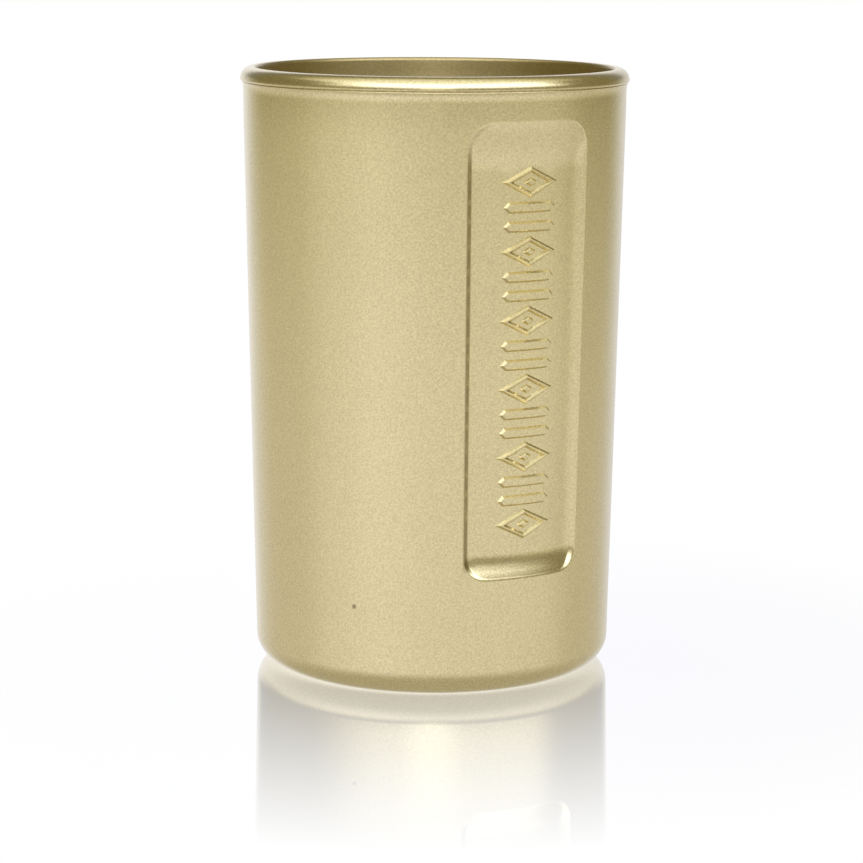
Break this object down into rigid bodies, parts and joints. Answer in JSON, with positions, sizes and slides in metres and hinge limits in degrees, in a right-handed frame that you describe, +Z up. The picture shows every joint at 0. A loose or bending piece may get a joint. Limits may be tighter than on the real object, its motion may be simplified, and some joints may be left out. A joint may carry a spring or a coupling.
{
  "type": "shot_cup",
  "caption": "Satin champagne-gold metal shot cup with a rolled lip, double wall and one pressed panel of raised ornament on its side",
  "frame": {"origin": "Centre of the circle that the foot stands on, at the lowest point of the cup.", "axes": "+Z is up along the cup's axis, towards the mouth. The pressed panel faces -Y. +X is to the right when looking at the panel."},
  "size_m": [0.0379, 0.0378, 0.0589],
  "materials": {
    "gold_coat": "satin metallic champagne-gold coat over drawn sheet metal",
    "gold_coat_cup": "satin metallic champagne-gold coat inside and over the rolled lip",
    "seal_compound": "matt sealing compound",
    "gold_coat_base": "satin metallic champagne-gold coat on the pressed base disc"
  },
  "bodies": {
    "root": {"outer_shell": "gold_coat", "inner_cup": "gold_coat_cup", "rim_seal": "seal_compound", "base_plate": "gold_coat_base"}
  },
  "joints": []
}
